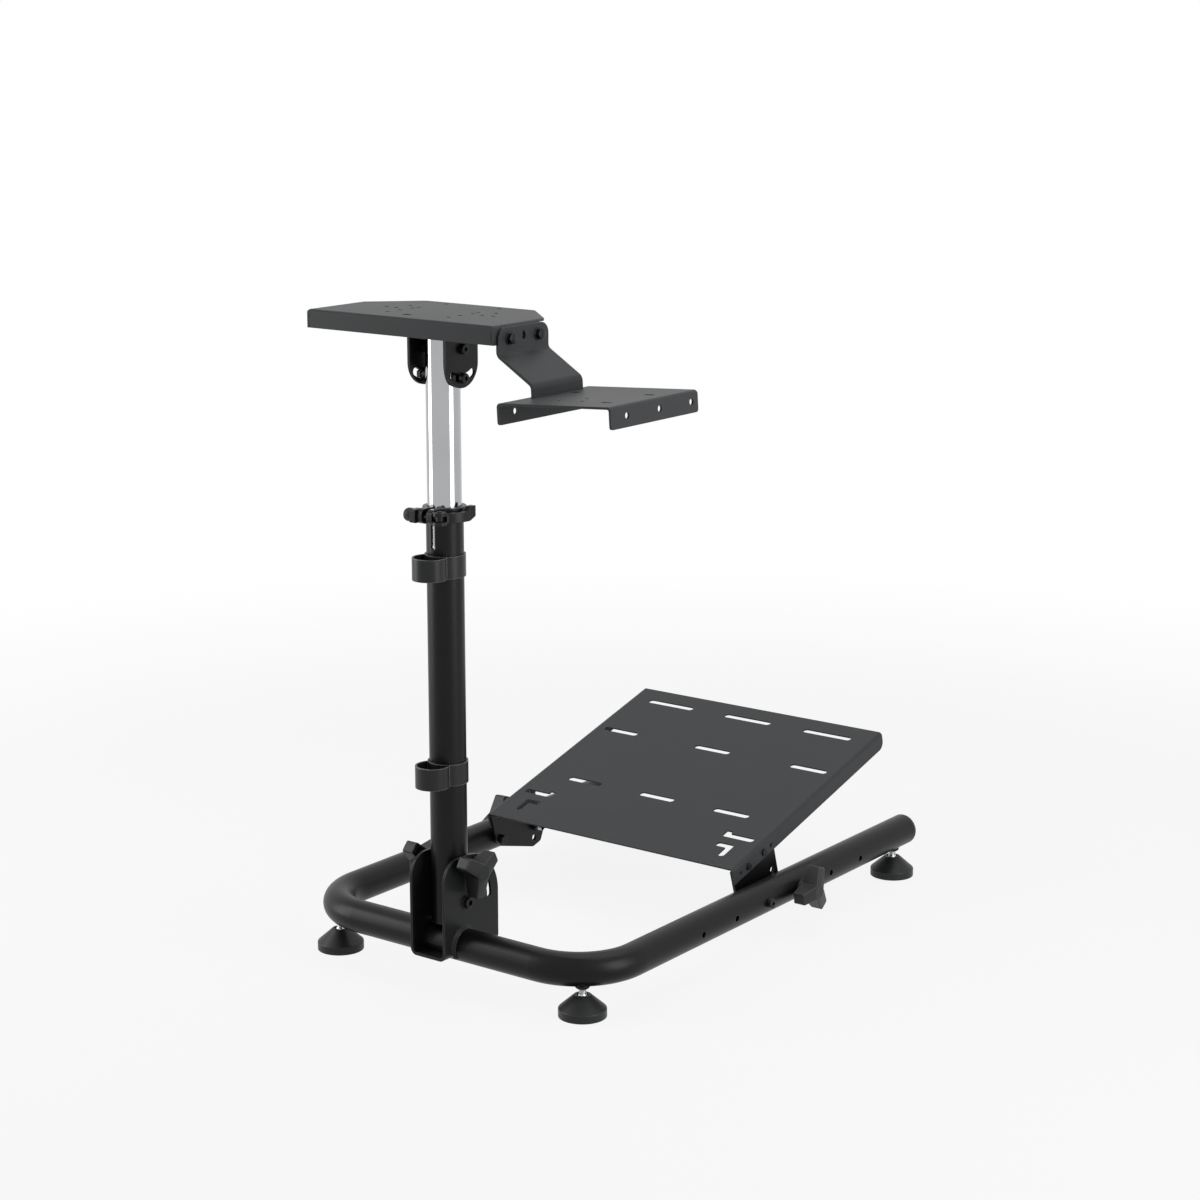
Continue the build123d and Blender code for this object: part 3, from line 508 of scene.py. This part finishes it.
# Column pivot: washers outside the bracket cheeks
pivot_low, pivot_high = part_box("pivot_bolt")
pivot_y = (pivot_low.y + pivot_high.y) / 2
pivot_z = (pivot_low.z + pivot_high.z) / 2
head_side = (pivot_high.x - 0.0060, pivot_y, pivot_z)
nut_side = (pivot_low.x + 0.0070, pivot_y, pivot_z)
head_ring = copies("pivot_ring", flat_ring(0.0081, 0.0106, washer), [head_side], "X")
nut_ring = copies("nut_ring", flat_ring(0.0094, 0.0118, washer), [nut_side], "-X")
washers = join("pivot_washers", [head_ring, nut_ring])
dress(washers, "base", "black_fastener")


# Studio: a white floor and sky, which the metal mirrors too, and three softboxes
camera_place = Vector((2.1873, -2.9736, 1.3299))
camera_az = 36.665
camera_fall = 12.904
focal_pixels = 2665.55
frame_pixels = 1200.0
sensor_width = 36.0
shadow_reach = 1.1
white_reach = 2.6
floor_white = 0.88


def background_rays(f):
    rays = ("Is Camera Ray", "Is Glossy Ray", "Is Transmission Ray")
    camera, mirror, through = (f.node("ShaderNodeLightPath", out=ray) for ray in rays)
    return camera + mirror + through


def floor_finish():
    f = Finish("studio_floor")
    place = f.node("ShaderNodeTexCoord", out="Object")
    reach = f.node("ShaderNodeVectorMath", {"operation": "LENGTH"}, {0: place}, "Value")
    far = f.node(
        "ShaderNodeMapRange",
        {"interpolation_type": "SMOOTHSTEP"},
        {0: reach, 1: shadow_reach, 2: white_reach},
    )
    paint = f.node("ShaderNodeBsdfDiffuse", None, {"Color": grey(0.62)})
    white = f.node("ShaderNodeEmission", None, {"Color": grey(1.0), "Strength": 1.0})
    shown = background_rays(f) * (floor_white + (1 - floor_white) * far)
    return f.shade(f.node("ShaderNodeMixShader", None, {0: shown, 1: paint, 2: white}))


bpy.ops.object.select_all(action="DESELECT")
bpy.ops.mesh.primitive_plane_add(size=60.0, location=(0, 0, 0))
floor = bpy.context.object
floor.name = "studio_floor"
floor.data.materials.append(floor_finish())


class Sky(Finish):
    def __init__(self, name):
        self.material = bpy.data.worlds.new(name)
        self.material.use_nodes = True
        self.tree = self.material.node_tree
        self.tree.nodes.clear()
        self.output = self.tree.nodes.new("ShaderNodeOutputWorld")


def studio_sky():
    f = Sky("studio_sky")
    soft = f.node("ShaderNodeBackground", None, {"Color": grey(1.0), "Strength": 0.12})
    white = f.node("ShaderNodeBackground", None, {"Color": grey(1.0), "Strength": 1.0})
    f.shade(f.node("ShaderNodeMixShader", None, {0: background_rays(f), 1: soft, 2: white}))
    bpy.context.scene.world = f.material


studio_sky()


def softbox(name, place, aim, width, height, power):
    lamp = bpy.data.lights.new(name, "AREA")
    lamp.shape = "RECTANGLE"
    lamp.size = width
    lamp.size_y = height
    lamp.energy = power
    o = bpy.data.objects.new(name, lamp)
    bpy.context.scene.collection.objects.link(o)
    o.location = place
    o.rotation_euler = (Vector(aim) - Vector(place)).to_track_quat("-Z", "Y").to_euler()
    return o


def around(angle, distance, height):
    a = math.radians(camera_az + angle)
    return (math.sin(a) * distance, -math.cos(a) * distance, height)


centre = (0.0, 0.0, 0.45)
softbox("top_softbox", (0.0, 0.6, 3.4), centre, 2.6, 2.6, 34.0)
for side, angle in (("right", 50), ("left", -90)):
    softbox(side + "_softbox", around(angle, 2.4, 1.05), centre, 1.2, 2.0, 36.0)

look = Vector((-math.sin(math.radians(camera_az)), math.cos(math.radians(camera_az)), 0))
down = math.radians(camera_fall)
look = look * math.cos(down) - Vector((0, 0, math.sin(down)))
cam_data = bpy.data.cameras.new("photo_camera")
cam_data.sensor_width = sensor_width
cam_data.lens = focal_pixels / frame_pixels * sensor_width
cam_data.clip_end = 100.0
cam = bpy.data.objects.new("photo_camera", cam_data)
bpy.context.scene.collection.objects.link(cam)
cam.location = camera_place
cam.rotation_mode = "QUATERNION"
cam.rotation_quaternion = look.to_track_quat("-Z", "Y")
bpy.context.scene.camera = cam
bpy.context.scene.view_settings.view_transform = "Standard"
